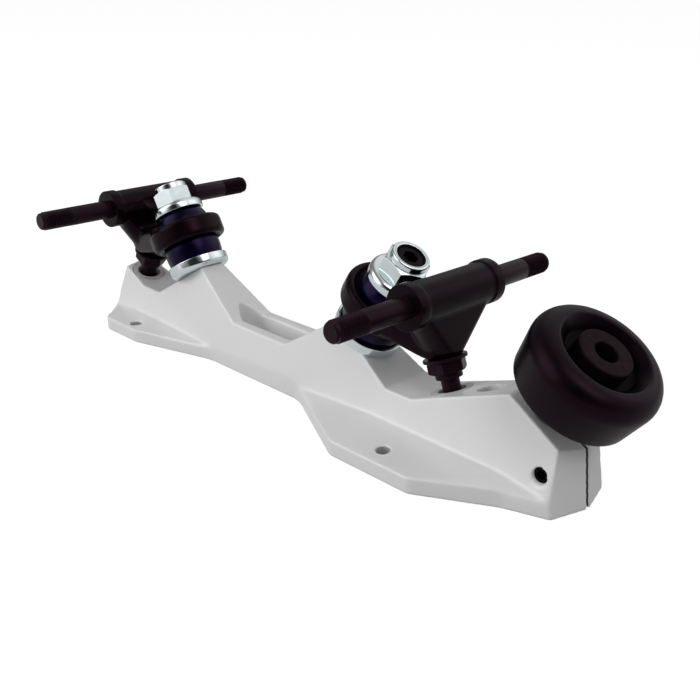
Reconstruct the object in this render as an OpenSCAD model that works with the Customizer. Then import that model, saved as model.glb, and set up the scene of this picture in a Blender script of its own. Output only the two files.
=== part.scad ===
// Quad roller skate plate, lying on its boot face with the trucks upward.
// X runs from heel to toe, Y across the skate, Z up from the boot face. Millimetres.

/* [Plate casting] */
// Distance between the two axles
wheelbase = 180; // [174:1:200]
// Height of the axles above the boot face
axle_height = 57.2; // [56:0.1:60]
// Front axle to the tip of the nose
toe_reach = 62.6; // [61:0.1:70]
// Rear axle to the tip of the heel
heel_reach = 21; // [20:0.1:30]
// Width of the beam at the boot face, midway between the axles
beam_w = 30; // [28:0.5:33]
// Draft of the beam's side walls from upright
beam_draft = 13; // [10:0.5:15]
// Widening of each side wall towards the toe
beam_taper = 0.65; // [0:0.05:1]
// Height of the waist
waist_h = 20; // [18:0.5:24]
// Slope of the beam up from the waist to the kingpin seats
inner_slope = 32; // [28:1:40]
// Full width of the casting at the end of the nose
nose_w = 30; // [28:0.5:34]
// Height at which the incline under the toe stop reaches the tip of the nose
nose_h = 19.5; // [18.6:0.1:20.4]
// Slope of that incline
incline_tilt = 27.2; // [26:0.2:29]
// Setback of the nose facets at the sides
nose_sweep = 4.5; // [3:0.1:7]
// Backward lean of the nose
nose_lean = 6.8; // [5:0.1:9]
// Full width of the casting at the end of the heel
heel_w = 21; // [18:0.5:24]
// Setback of the heel facets at the sides
heel_sweep = 3; // [2:0.1:5]
// Forward lean of the heel wall
heel_lean = 16; // [10:0.5:18]

/* [Flanges] */
// Height of the upright rim round the boot face
rim_h = 6; // [4:0.1:7]
// Full width of the front flange
front_flange_w = 71; // [66:0.5:80]
// Reach of the front flange's wide part behind the front axle
front_flange_back = 21; // [17:0.5:25]
// Reach of the front flange's wide part ahead of the front axle
front_flange_ahead = 16; // [12:0.5:20]
// Height at which the front flange's ramp runs into the beam
front_ramp_h = 8.8; // [7.5:0.1:11]
// Length over which the waist widens to the front flange
front_flare_l = 41; // [36:0.5:46]
// Distance of the shoulder, where flange turns into nose, ahead of the front axle
shoulder_ahead = 42.6; // [40:0.1:45]
// Full width of the casting at the shoulder
shoulder_w = 40.4; // [38:0.2:44]
// Full width of the rear flange
rear_flange_w = 51; // [47:0.5:60]
// Reach of the rear flange's wide part behind the rear axle
rear_flange_back = 3.5; // [2:0.1:6]
// Reach of the rear flange's wide part ahead of the rear axle
rear_flange_ahead = 20; // [17:0.5:24]
// Height at which the rear flange's ramp runs into the beam
rear_ramp_h = 7.6; // [7.2:0.1:10]
// Length over which the rear flange narrows to the waist
rear_flare_l = 40; // [36:0.5:46]
// Full width of the waist between the flanges
waist_w = 26.6; // [25:0.2:30]

/* [Boot bolt holes] */
// Diameter of the boot bolt holes
boot_hole_d = 5.2; // [4:0.1:6]
// Distance between the two front boot holes
front_hole_spacing = 56; // [48:0.5:58]
// Distance between the two rear boot holes
rear_hole_spacing = 41; // [36:0.5:42]
// Setback of the front boot holes behind the front axle
front_hole_back = 2; // [0:0.1:8]
// Distance of the rear boot holes ahead of the rear axle
rear_hole_ahead = 13.8; // [6:0.1:16]
// Distance of the middle toe hole ahead of the front axle
toe_hole_ahead = 21; // [19:0.5:22]
// Diameter of the counterbore over the middle toe hole
toe_hole_bore_d = 9; // [8:0.5:10]
// Metal left under that counterbore
toe_hole_floor = 12; // [8:0.5:16]

/* [Waist pocket] */
// Reach of the pocket's parallel sides ahead of the middle of the wheelbase
pocket_ahead = 14.5; // [10:0.5:16]
// Reach of the pocket's parallel sides behind the middle of the wheelbase
pocket_behind = 18; // [14:0.5:20]
// Length of the pocket's pointed rear end
pocket_point_l = 7; // [5:0.5:9]
// Width of the pocket
pocket_w = 10.6; // [8:0.2:12]
// Metal left under the pocket
pocket_floor = 7; // [5:0.5:10]

/* [Kingpin and cushions] */
// Lean of the kingpin from upright, outward at the nut
kingpin_tilt = 31.5; // [29:0.5:33]
// Setback of the kingpin's foot from the axle, towards the waist
kingpin_inset = 38.2; // [37:0.1:41]
// Height of the kingpin's foot on its seat
seat_h = 32.3; // [31:0.1:34]
// Run of the seat from the kingpin's axis up to the ridge
seat_run = 9.3; // [7:0.1:11]
// Height of the flat floor between seat and pivot face
floor_h = 19.6; // [18:0.1:21]
// Diameter of the kingpin
kingpin_d = 10; // [8:0.1:10.4]
// Depth of the kingpin in the plate
kingpin_depth = 22; // [16:0.5:26]
// Thickness of the cushion retainers' floors
retainer_t = 2; // [1.5:0.1:2.5]
// Thickness of the cushion retainers' walls
retainer_wall = 1.3; // [1:0.1:1.6]
// Outer diameter of the lower retainer
lower_retainer_d = 27; // [26:0.1:29]
// Height of the lower retainer's wall
lower_retainer_h = 5; // [4:0.1:6]
// Outer diameter of the upper retainer
upper_retainer_d = 22.6; // [21.6:0.1:24]
// Height of the upper retainer's wall
upper_retainer_h = 4.2; // [3.6:0.1:5]
// Length of the lower cushion between its retainer's floor and the ring
lower_cushion_h = 11; // [10:0.1:12]
// Length of the upper cushion between the ring and its retainer's floor
upper_cushion_h = 7.5; // [7:0.1:9]
// Swelling of the cushions' sides
cushion_bulge = 0.5; // [0.3:0.1:0.9]
// Width across the flats of the kingpin nut
kingpin_nut_af = 15.6; // [15:0.1:17]
// Height of the kingpin nut's hexagon
kingpin_nut_h = 6.5; // [6:0.1:8]
// Turn of the front kingpin nut
front_nut_turn = 0; // [-30:1:30]
// Turn of the rear kingpin nut
rear_nut_turn = 22; // [-30:1:30]
// Diameter of the collar on the nut that holds the locking ring
nut_collar_d = 14.4; // [13.8:0.1:14.8]
// Height of that collar
nut_collar_h = 2.5; // [2:0.1:4]
// Outer diameter of the nut's locking ring
locking_ring_d = 12; // [11.6:0.1:12.6]
// Hexagon socket in the kingpin's end, across its flats
kingpin_socket_af = 5; // [4:0.1:6]

/* [Hanger and axle] */
// Diameter of the axle's ends
axle_d = 8; // [7:0.1:8.2]
// Diameter of the axle's core in the hanger
axle_core_d = 8.4; // [8.3:0.1:9]
// Length of the axle
axle_l = 110; // [100:1:120]
// Diameter of the hanger's barrel
barrel_d = 15; // [13.6:0.1:15.6]
// Length of the hanger's barrel
barrel_l = 44; // [40:0.5:56]
// Diameter of the collar at each end of the barrel
collar_d = 16.2; // [15.8:0.1:18]
// Length of each barrel collar
collar_l = 4; // [3:0.1:6]
// Thickness of the fan arm
fan_t = 12; // [10:0.1:13]
// Diameter of the boss that holds the pivot pin
boss_d = 12.6; // [11.6:0.1:14]
// Height of that boss
boss_h = 4; // [3:0.1:5]
// Width of the neck at the arm
neck_w = 17; // [15:0.2:20]
// Thickness of the neck at the ring
neck_t = 7; // [6:0.1:8]
// Height of the neck's foot above the end of the boss
neck_rise = 6; // [5:0.1:9]
// Outer diameter of the hanger's cushion ring
ring_d = 32.8; // [31:0.1:34]
// Thickness of the cushion ring
ring_t = 9.4; // [8.8:0.1:10]
// Hole through the cushion ring
ring_hole_d = 17; // [15:0.1:18]
// Depth of the cushion seats in the ring
ring_seat_depth = 2; // [1.6:0.1:2.4]

/* [Pivot] */
// Lean of the pivot pin from upright, inward at the hanger
pivot_tilt = 20; // [17:0.5:22]
// Distance of the pivot's foot outside the axle
pivot_out = 4.3; // [3:0.1:5]
// Height of the pivot's foot on its face
pivot_h = 23; // [22:0.1:24]
// Diameter of the pivot pin's thread
pivot_thread_d = 8; // [7:0.1:8.4]
// Length of thread in the hanger
pivot_thread_l = 10; // [8:0.1:11]
// Diameter of the pivot pin's shank
pivot_shank_d = 6.7; // [6:0.1:7.4]
// Diameter of the pin's collar under the jam nut
pin_collar_d = 9.8; // [9:0.1:10.5]
// Height of the pin's collar
pin_collar_h = 2.2; // [1.6:0.1:3]
// Diameter of the pivot ball
pivot_ball_d = 9; // [8:0.1:9.5]
// Depth of the ball's centre under the pivot face
pivot_ball_depth = 4; // [3:0.1:5]
// Outer diameter of the pivot cup
pivot_cup_d = 14.4; // [13.6:0.1:15]
// Wall of the pivot cup at its mouth
pivot_cup_wall = 2.1; // [1.8:0.1:2.2]
// Depth of the pivot cup
pivot_cup_depth = 11; // [10:0.1:12]
// Free length of the pin between pivot face and hanger
pivot_reach = 12; // [11:0.1:13]
// Width across the flats of the jam nut
jam_nut_af = 12.6; // [11:0.1:13]
// Height of the jam nut
jam_nut_h = 4.4; // [3:0.1:5]
// Diameter of the pivot washer
pivot_washer_d = 16; // [14:0.1:17]
// Thickness of the pivot washer
pivot_washer_t = 1.2; // [0.8:0.1:1.6]

/* [Toe stop] */
// Lean of the toe stop's stem from upright, towards the toe
stem_tilt = 32.1; // [31:0.1:34]
// Distance of the stem's foot ahead of the front axle
stem_ahead = 45.9; // [45.2:0.1:46.6]
// Diameter of the stem
stem_d = 12.7; // [12:0.1:14]
// Depth of the stem in the plate
stem_depth = 14; // [12:0.5:15]
// Travel left for the stem below its end
stem_travel = 7; // [5:0.5:7.5]
// Bore of the hollow stem
stem_bore_d = 8; // [7:0.1:9]
// Gap between the incline and the back of the rubber
stop_gap = 10.9; // [10:0.1:12]
// Thickness of the rubber
stop_t = 20.2; // [19:0.1:24]
// Diameter of the rubber at its face
stop_d = 47.8; // [46:0.1:52]
// Diameter of the rubber at its back
stop_back_d = 41.7; // [40:0.1:44]
// Diameter of the dish in the rubber's face, at its crest
dish_d = 31.4; // [30:0.1:33]
// Depth of the dish
dish_depth = 4.2; // [3.6:0.1:5]
// Inward run of the dish's sloping wall
dish_run = 3.6; // [2.5:0.1:4]
// Diameter of the hub in the dish
hub_d = 18.8; // [18:0.1:20]
// Setback of the hub's face behind the rubber's rim
hub_back = 0.1; // [0.1:0.1:1]
// Diameter of the hub's flange inside the rubber
hub_flange_d = 26; // [24:0.1:28]
// Thickness of the hub's flange
hub_flange_t = 2; // [1.5:0.1:3]
// Rubber over the hub's flange
hub_cover_t = 2; // [1.5:0.1:3]

/* [Toe stop clamp] */
// Width of the clamp slit
slit_w = 1.2; // [0.8:0.1:2]
// Distance of the clamp screw ahead of the front axle
clamp_ahead = 51.7; // [51.2:0.1:53]
// Height of the clamp screw
clamp_h = 12.8; // [12:0.1:13.6]
// Diameter of the clamp screw's head
clamp_head_d = 5.5; // [5.2:0.1:6.2]
// Height of the clamp screw's head
clamp_head_h = 4; // [3:0.1:5]
// Hexagon socket in the clamp screw's head, across its flats
clamp_socket_af = 3; // [2.5:0.1:3.5]
// Diameter of the clamp screw's thread
clamp_thread_d = 4; // [3:0.1:4.2]
// Depth of the screw's head below the side wall
clamp_recess = 1.2; // [0.8:0.1:3]

/* [Fits] */
// Radial clearance of pins, threads and pressed pieces
fit_gap = 0.05; // [0.02:0.01:0.08]
// Clearance round the pivot ball
ball_gap = 0.3; // [0.2:0.05:0.5]
// Clearance between the cushions and what they seat on
cushion_gap = 0.2; // [0.1:0.05:0.3]
// Clearance past the end of a blind hole
end_gap = 1; // [0.5:0.1:1.5]

/* [Hidden] */
$fn = 64;
blend_fn = 32;
far = 400;
cut = 1;

front_x = wheelbase / 2;
rear_x = -wheelbase / 2;
nose_x = front_x + toe_reach;
heel_x = rear_x - heel_reach;

// Side-view points of one truck: distance outward from the axle, height
seat_dir = [cos(kingpin_tilt), -sin(kingpin_tilt)];
seat_foot = [-kingpin_inset, seat_h];
pivot_foot = [pivot_out, pivot_h];
ridge = seat_foot - seat_run * seat_dir;
floor_in = [-kingpin_inset + (seat_h - floor_h) / tan(kingpin_tilt), floor_h];
floor_out = [pivot_out - (pivot_h - floor_h) / tan(pivot_tilt), floor_h];
slope_foot = [ridge[0] - (ridge[1] - waist_h) / tan(inner_slope), waist_h];
function pivot_face_z(out) = pivot_h + (out - pivot_out) * tan(pivot_tilt);

// Levels along the kingpin, from its seat
ring_bottom = retainer_t + lower_cushion_h;
ring_top = ring_bottom + ring_t;
lower_seat = ring_bottom + ring_seat_depth;
upper_seat = ring_top - ring_seat_depth;
nut_seat = ring_top + upper_cushion_h + retainer_t;
collar_seat = nut_seat + kingpin_nut_h;
nut_top = collar_seat + nut_collar_h;
kingpin_end_back = 0.8;
locking_ring_back = 0.5;
cushion_d = lower_retainer_d - 2 * (retainer_wall + cushion_gap);
cushion_top_d = upper_retainer_d - 2 * (retainer_wall + cushion_gap);

// Levels along the pivot pin, from its face
washer_level = pivot_reach - pivot_washer_t;
jam_level = washer_level - jam_nut_h;
thread_top = pivot_reach + pivot_thread_l;

// The incline that carries the toe stop, in side view ahead of the front axle
function incline_z(out) = nose_h + (toe_reach - out) * tan(incline_tilt);
incline_top_out = (incline_z(0) - pivot_face_z(0)) / (tan(incline_tilt) + tan(pivot_tilt));
stem_foot = [stem_ahead, incline_z(stem_ahead)];
stem_dir = [sin(stem_tilt), cos(stem_tilt)];
stem_bore_depth = stem_depth + stem_travel + end_gap;

// Levels along the toe stop's stem, from the incline
stop_front = stop_gap + stop_t;
hub_front = stop_front - hub_back;
dish_floor = stop_front - dish_depth;
hub_flange_top = dish_floor - hub_cover_t;
stem_top = hub_flange_top - hub_flange_t;
stem_end_wall = 3;

function beam_half_w(x, z) = beam_w / 2 + x * tan(beam_taper) - z * tan(beam_draft);
clamp_wall = beam_half_w(front_x + clamp_ahead, clamp_h);
clamp_half_l = clamp_wall - clamp_recess;

// Corner radii of the boot-face outline, from the heel forward
heel_corner_r = 3;
rear_back_r = 5;
rear_ahead_r = 8;
waist_rear_r = 25;
waist_front_r = 18;
front_back_r = 7;
front_ahead_r = 6;
shoulder_r = 16;
nose_corner_r = 1.5;
pocket_corner_r = 1.2;
pocket_shoulder_r = 12;

// Edge radii of the turned and pressed pieces
ring_edge_r = 2;
ring_seat_gap = 0.8;
ring_seat_flare = 1.2;
retainer_bend_r = 2.2;
retainer_lip_r = 0.4;
nut_edge_r = 0.7;
axle_chamfer = 0.8;
hex_chamfer = 0.2;
stop_back_r = 1.6;
stop_front_r = 6.7;
dish_crest_r = 1.4;
hub_edge_r = 0.5;

// Rounds the corners of a path whose points are x, y and corner radius
function round_path(pts, steps = 4) = [
    for (i = [0 : len(pts) - 1])
        let (
            n = len(pts),
            p = [pts[i][0], pts[i][1]],
            a = [pts[(i + n - 1) % n][0], pts[(i + n - 1) % n][1]] - p,
            b = [pts[(i + 1) % n][0], pts[(i + 1) % n][1]] - p,
            ua = a / norm(a),
            ub = b / norm(b),
            half = acos(max(-1, min(1, ua * ub))) / 2,
            r = pts[i][2],
            mid = (ua + ub) / max(norm(ua + ub), 0.001),
            center = p + mid * r / sin(half),
            from = atan2((p + ua * r / tan(half) - center)[1], (p + ua * r / tan(half) - center)[0]),
            to = atan2((p + ub * r / tan(half) - center)[1], (p + ub * r / tan(half) - center)[0]),
            sweep = (to - from + 540) % 360 - 180
        )
        for (k = [0 : r > 0 ? steps : 0])
            r > 0 ? center + r * [cos(from + sweep * k / steps), sin(from + sweep * k / steps)] : p
];

// Half of the boot-face outline, heel to nose on the left side
front_half = front_flange_w / 2;
rear_half = rear_flange_w / 2;
waist_half = waist_w / 2;
nose_half = nose_w / 2;
outline_half = [
    [heel_x, 0, 0],
    [heel_x + heel_sweep, heel_w / 2, heel_corner_r],
    [rear_x - rear_flange_back, rear_half, rear_back_r],
    [rear_x + rear_flange_ahead, rear_half, rear_ahead_r],
    [rear_x + rear_flange_ahead + rear_flare_l, waist_half, waist_rear_r],
    [front_x - front_flange_back - front_flare_l, waist_half, waist_front_r],
    [front_x - front_flange_back, front_half, front_back_r],
    [front_x + front_flange_ahead, front_half, front_ahead_r],
    [front_x + shoulder_ahead, shoulder_w / 2, shoulder_r],
    [nose_x - nose_sweep, nose_half, nose_corner_r],
    [nose_x, 0, 0]
];
function mirrored(p) = [p[0], -p[1], p[2]];
outline_points = concat(
    outline_half,
    [for (i = [len(outline_half) - 2 : -1 : 1]) mirrored(outline_half[i])]
);

// Side view of the beam along X and Z
function front_pt(p) = [front_x + p[0], p[1]];
function rear_pt(p) = [rear_x - p[0], p[1]];
beam_side = [
    [heel_x, 0],
    [nose_x, 0],
    [nose_x, nose_h],
    front_pt([incline_top_out, pivot_face_z(incline_top_out)]),
    front_pt(floor_out),
    front_pt(floor_in),
    front_pt(ridge),
    front_pt(slope_foot),
    rear_pt(slope_foot),
    rear_pt(ridge),
    rear_pt(floor_in),
    rear_pt(floor_out),
    [heel_x, pivot_face_z(heel_reach)]
];

module side_extrude(w) {
    translate([0, w / 2, 0]) rotate([90, 0, 0]) linear_extrude(w) children();
}

module at_front() {
    translate([front_x, 0, 0]) children();
}

module at_rear() {
    translate([rear_x, 0, 0]) rotate([0, 0, 180]) children();
}

// Local frames with Z along the kingpin, the pivot pin and the toe stop's stem
module on_kingpin(level = 0) {
    translate([seat_foot[0], 0, seat_foot[1]]) rotate([0, kingpin_tilt, 0])
        translate([0, 0, level]) children();
}

module on_pivot(level = 0) {
    translate([pivot_foot[0], 0, pivot_foot[1]]) rotate([0, -pivot_tilt, 0])
        translate([0, 0, level]) children();
}

module on_stem(level = 0) {
    at_front() translate([stem_foot[0], 0, stem_foot[1]]) rotate([0, stem_tilt, 0])
        translate([0, 0, level]) children();
}

module across(d, l) {
    rotate([90, 0, 0]) cylinder(d = d, h = l, center = true);
}

// Hexagon with its corners turned off at both ends or at one end
module hex_nut(af, h, bore, chamfer_bottom = true) {
    r = af / 2 / cos(30);
    turned = r - af / 2 + hex_chamfer;
    drop = turned * tan(30);
    difference() {
        intersection() {
            cylinder(r = r, h = h, $fn = 6);
            rotate_extrude() polygon([
                [0, 0],
                [chamfer_bottom ? r - turned : r, 0],
                [r, chamfer_bottom ? drop : 0],
                [r, h - drop],
                [r - turned, h],
                [0, h]
            ]);
        }
        translate([0, 0, -cut]) cylinder(d = bore, h = h + 2 * cut);
    }
}

// Hexagon socket sunk below level 0
module hex_socket(af, depth) {
    translate([0, 0, -depth]) cylinder(d = af / cos(30), h = depth + cut, $fn = 6);
}

// Plate casting

module beam_side_wall(side) {
    translate([0, side * beam_w / 2, 0]) rotate([0, 0, side * beam_taper])
        rotate([side * beam_draft, 0, 0]) translate([-far / 2, (side - 1) / 2 * far, -far / 2])
            cube([far, far, far]);
}

module nose_facet(side) {
    translate([nose_x, 0, 0]) rotate([0, 0, side * atan(nose_sweep / nose_half)])
        rotate([0, -nose_lean, 0]) translate([0, -far / 2, -far / 2]) cube([far, far, far]);
}

module heel_facet(side) {
    translate([heel_x, 0, 0]) rotate([0, 0, -side * atan(2 * heel_sweep / heel_w)])
        rotate([0, heel_lean, 0]) translate([-far, -far / 2, -far / 2]) cube([far, far, far]);
}

module beam() {
    difference() {
        side_extrude(2 * beam_w) polygon(beam_side);
        for (side = [-1, 1])
            beam_side_wall(side);
    }
}

// A flange whose top ramps up from its rim to a crest inside the beam
module ramped_flange(x_from, x_to, crest_from, crest_to, crest_h) {
    crest_w = waist_w - rim_h;
    hull() {
        linear_extrude(rim_h) intersection() {
            polygon(round_path(outline_points));
            translate([x_from, -front_flange_w]) square([x_to - x_from, 2 * front_flange_w]);
        }
        translate([crest_from, -crest_w / 2, 0]) cube([crest_to - crest_from, crest_w, crest_h]);
    }
}

module front_flange() {
    wide_from = front_x - front_flange_back;
    ramped_flange(wide_from - front_flare_l, nose_x, wide_from, front_x + shoulder_ahead, front_ramp_h);
}

module rear_flange() {
    wide_to = rear_x + rear_flange_ahead;
    ramped_flange(heel_x, wide_to + rear_flare_l, rear_x - rear_flange_back, wide_to, rear_ramp_h);
}

module boot_holes(x, spacing) {
    for (side = [-1, 1])
        translate([x, side * spacing / 2, -cut]) cylinder(d = boot_hole_d, h = front_ramp_h + 2 * cut);
}

module toe_hole() {
    translate([front_x + toe_hole_ahead, 0, -cut]) cylinder(d = boot_hole_d, h = axle_height);
    translate([front_x + toe_hole_ahead, 0, toe_hole_floor]) cylinder(d = toe_hole_bore_d, h = axle_height);
}

// Boat-shaped pocket with its point towards the heel
module waist_pocket() {
    half = pocket_w / 2;
    translate([0, 0, pocket_floor]) linear_extrude(axle_height) polygon(round_path([
        [-pocket_behind - pocket_point_l, 0, pocket_corner_r],
        [-pocket_behind, -half, pocket_shoulder_r],
        [pocket_ahead, -half, pocket_corner_r],
        [pocket_ahead, half, pocket_corner_r],
        [-pocket_behind, half, pocket_shoulder_r]
    ]));
}

module truck_bores() {
    on_kingpin(-kingpin_depth) cylinder(d = kingpin_d + 2 * fit_gap, h = kingpin_depth + cut);
    on_pivot(-pivot_cup_depth) cylinder(d = pivot_cup_d + 2 * fit_gap, h = pivot_cup_depth + 2 * cut);
}

module toe_stop_clamp_cuts() {
    bore_end = stem_foot - stem_bore_depth * stem_dir;
    on_stem(-stem_bore_depth) cylinder(d = stem_d + 2 * fit_gap, h = stem_bore_depth + stop_gap);
    side_extrude(slit_w) polygon([
        front_pt(bore_end),
        [front_pt(bore_end)[0], -cut],
        [nose_x + cut, -cut],
        [nose_x + cut, nose_h + stop_gap],
        front_pt(stem_foot + stop_gap * stem_dir)
    ]);
    translate([front_x + clamp_ahead, 0, clamp_h]) {
        across(clamp_thread_d + 2 * fit_gap, 2 * clamp_half_l);
        translate([0, clamp_head_h - clamp_half_l - beam_w / 2, 0])
            across(clamp_head_d + 2 * fit_gap, beam_w);
    }
}

module plate() {
    color("whitesmoke") difference() {
        intersection() {
            linear_extrude(far) polygon(round_path(outline_points));
            union() {
                linear_extrude(rim_h) polygon(round_path(outline_points));
                beam();
                front_flange();
                rear_flange();
            }
        }
        for (side = [-1, 1]) {
            nose_facet(side);
            heel_facet(side);
        }
        boot_holes(front_x - front_hole_back, front_hole_spacing);
        boot_holes(rear_x + rear_hole_ahead, rear_hole_spacing);
        toe_hole();
        waist_pocket();
        at_front() truck_bores();
        at_rear() truck_bores();
        toe_stop_clamp_cuts();
    }
}

// Hanger: barrel, fan-shaped arm down to the pivot, neck and cushion ring

module cushion_ring() {
    on_kingpin(ring_bottom) rotate_extrude() polygon(round_path([
        [0, 0, 0],
        [ring_d / 2, 0, ring_edge_r],
        [ring_d / 2, ring_t, ring_edge_r],
        [0, ring_t, 0]
    ]));
}

// Room for the kingpin and its cushions, which dishes the ring's faces to seat them
module cushion_room() {
    hole_r = ring_hole_d / 2;
    floor_r = cushion_d / 2 + ring_seat_gap;
    lip_r = floor_r + ring_seat_flare;
    room_r = ring_d / 2 - ring_edge_r;
    on_kingpin() rotate_extrude() polygon([
        [0, 0],
        [room_r, 0],
        [room_r, ring_bottom],
        [lip_r, ring_bottom],
        [floor_r, lower_seat],
        [hole_r, lower_seat],
        [hole_r, upper_seat],
        [floor_r, upper_seat],
        [lip_r, ring_top],
        [room_r, ring_top],
        [room_r, nut_top],
        [0, nut_top]
    ]);
}

module barrel() {
    translate([0, 0, axle_height]) {
        across(barrel_d, barrel_l);
        for (side = [-1, 1])
            translate([0, side * (barrel_l - collar_l) / 2, 0]) across(collar_d, collar_l);
    }
}

module fan_arm() {
    hull() {
        translate([0, 0, axle_height]) across(fan_t, barrel_l - 2 * collar_l, $fn = blend_fn);
        on_pivot(pivot_reach) cylinder(d = boss_d, h = boss_h, $fn = blend_fn);
    }
}

module neck() {
    hull() {
        on_kingpin(ring_bottom + (ring_t - neck_t) / 2)
            cylinder(d = ring_d - 2 * ring_edge_r, h = neck_t, $fn = 2 * blend_fn);
        on_pivot(pivot_reach + neck_rise) across(fan_t - ring_edge_r, neck_w, $fn = blend_fn);
    }
}

module hanger() {
    difference() {
        union() {
            barrel();
            fan_arm();
            neck();
            cushion_ring();
        }
        translate([0, 0, axle_height]) across(axle_core_d + 2 * fit_gap, barrel_l + 2 * cut);
        on_pivot(pivot_reach - cut)
            cylinder(d = pivot_thread_d + 2 * fit_gap, h = pivot_thread_l + end_gap + cut);
        cushion_room();
    }
}

// Axle with a thicker core where it is pressed into the barrel
module axle() {
    end_r = axle_d / 2;
    core_from = (axle_l - barrel_l) / 2;
    core_to = core_from + barrel_l;
    translate([0, axle_l / 2, axle_height]) rotate([90, 0, 0]) rotate_extrude() polygon([
        [0, 0],
        [end_r - axle_chamfer, 0],
        [end_r, axle_chamfer],
        [end_r, core_from],
        [axle_core_d / 2, core_from],
        [axle_core_d / 2, core_to],
        [end_r, core_to],
        [end_r, axle_l - axle_chamfer],
        [end_r - axle_chamfer, axle_l],
        [0, axle_l]
    ]);
}

// Pivot pin, its nut and washer, and the cup that it turns in

module pivot_pin() {
    collar_level = jam_level - pin_collar_h;
    on_pivot(-pivot_ball_depth) {
        sphere(d = pivot_ball_d);
        cylinder(d = pivot_shank_d, h = pivot_ball_depth + jam_level);
    }
    on_pivot(collar_level) {
        cylinder(d = pin_collar_d, h = pin_collar_h);
        cylinder(d = pivot_thread_d, h = thread_top - collar_level);
    }
}

module pivot_jam_nut() {
    on_pivot(jam_level) hex_nut(jam_nut_af, jam_nut_h, pivot_thread_d + 2 * fit_gap);
}

module pivot_washer() {
    on_pivot(washer_level) difference() {
        cylinder(d = pivot_washer_d, h = pivot_washer_t);
        translate([0, 0, -cut]) cylinder(d = pivot_thread_d + 2 * fit_gap, h = pivot_washer_t + 2 * cut);
    }
}

module pivot_cup() {
    socket_d = pivot_ball_d + 2 * ball_gap;
    mouth_d = pivot_cup_d - 2 * pivot_cup_wall;
    on_pivot(-pivot_ball_depth) difference() {
        translate([0, 0, pivot_ball_depth - pivot_cup_depth])
            cylinder(d = pivot_cup_d, h = pivot_cup_depth);
        sphere(d = socket_d);
        cylinder(d1 = socket_d, d2 = mouth_d, h = pivot_ball_depth);
    }
}

// Kingpin with its retainers, cushions and lock nut

module kingpin() {
    top = nut_top - kingpin_end_back;
    difference() {
        on_kingpin(-kingpin_depth) cylinder(d = kingpin_d, h = kingpin_depth + top);
        on_kingpin(top) hex_socket(kingpin_socket_af, nut_collar_h + kingpin_end_back);
    }
}

module retainer(d, h) {
    bore_r = kingpin_d / 2 + fit_gap;
    inner_r = d / 2 - retainer_wall;
    rotate_extrude() polygon(round_path([
        [bore_r, 0, 0],
        [d / 2, 0, retainer_bend_r],
        [d / 2, h, retainer_lip_r],
        [inner_r, h, retainer_lip_r],
        [inner_r, retainer_t, 0],
        [bore_r, retainer_t, 0]
    ]));
}

module lower_retainer() {
    on_kingpin() retainer(lower_retainer_d, lower_retainer_h);
}

module upper_retainer() {
    on_kingpin(nut_seat) mirror([0, 0, 1]) retainer(upper_retainer_d, upper_retainer_h);
}

// Urethane ring that swells between the lengths that its retainers hold
module cushion(bottom_d, top_d, h, held_bottom, held_top) {
    bore_r = kingpin_d / 2 + fit_gap;
    steps = 8;
    free_h = h - held_bottom - held_top;
    side = [for (i = [0 : steps])
        let (k = i / steps)
        [
            bottom_d / 2 + k * (top_d - bottom_d) / 2 + cushion_bulge * sin(180 * k),
            held_bottom + k * free_h
        ]];
    rotate_extrude() polygon(concat(
        [[bore_r, 0]],
        held_bottom > 0 ? [[bottom_d / 2, 0]] : [],
        side,
        held_top > 0 ? [[top_d / 2, h]] : [],
        [[bore_r, h]]
    ));
}

module lower_cushion() {
    held = lower_retainer_h - retainer_t + cushion_gap;
    h = lower_seat - cushion_gap - retainer_t;
    on_kingpin(retainer_t) cushion(cushion_d, cushion_d, h, held, 0);
}

module upper_cushion() {
    held = upper_retainer_h - retainer_t + cushion_gap;
    foot = upper_seat + cushion_gap;
    on_kingpin(foot) cushion(cushion_d, cushion_top_d, nut_seat - retainer_t - foot, 0, held);
}

module kingpin_nut(turn) {
    collar_r = nut_collar_d / 2;
    ring_r = locking_ring_d / 2 + fit_gap;
    bore_d = kingpin_d + 2 * fit_gap;
    on_kingpin(nut_seat) rotate([0, 0, turn]) hex_nut(kingpin_nut_af, kingpin_nut_h, bore_d, false);
    on_kingpin(collar_seat) rotate_extrude() polygon(round_path([
        [ring_r, 0, 0],
        [collar_r, 0, 0],
        [collar_r, nut_collar_h, nut_edge_r],
        [ring_r, nut_collar_h, 0]
    ]));
}

module nut_locking_ring() {
    on_kingpin(collar_seat) difference() {
        cylinder(d = locking_ring_d, h = nut_collar_h - locking_ring_back);
        translate([0, 0, -cut]) cylinder(d = kingpin_d + 2 * fit_gap, h = nut_collar_h + 2 * cut);
    }
}

// Toe stop: rubber moulded round a hub on a hollow threaded stem

module toe_stop_rubber() {
    core_r = stem_d / 2 + fit_gap;
    hub_r = hub_d / 2 + fit_gap;
    flange_r = hub_flange_d / 2 + fit_gap;
    color("#17131a") on_stem() rotate_extrude() polygon(round_path([
        [core_r, stop_gap, 0],
        [stop_back_d / 2, stop_gap, stop_back_r],
        [stop_d / 2, stop_front, stop_front_r],
        [dish_d / 2, stop_front, dish_crest_r],
        [dish_d / 2 - dish_run, dish_floor, dish_crest_r],
        [hub_r, dish_floor, 0],
        [hub_r, hub_flange_top, 0],
        [flange_r, hub_flange_top, 0],
        [flange_r, stem_top, 0],
        [core_r, stem_top, 0]
    ]));
}

module toe_stop_hub() {
    bore_r = stem_bore_d / 2;
    color("#2b2326") on_stem() rotate_extrude() polygon(round_path([
        [bore_r, stem_top, 0],
        [hub_flange_d / 2, stem_top, 0],
        [hub_flange_d / 2, hub_flange_top, 0],
        [hub_d / 2, hub_flange_top, 0],
        [hub_d / 2, hub_front, hub_edge_r],
        [bore_r, hub_front, hub_edge_r]
    ]));
}

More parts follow.
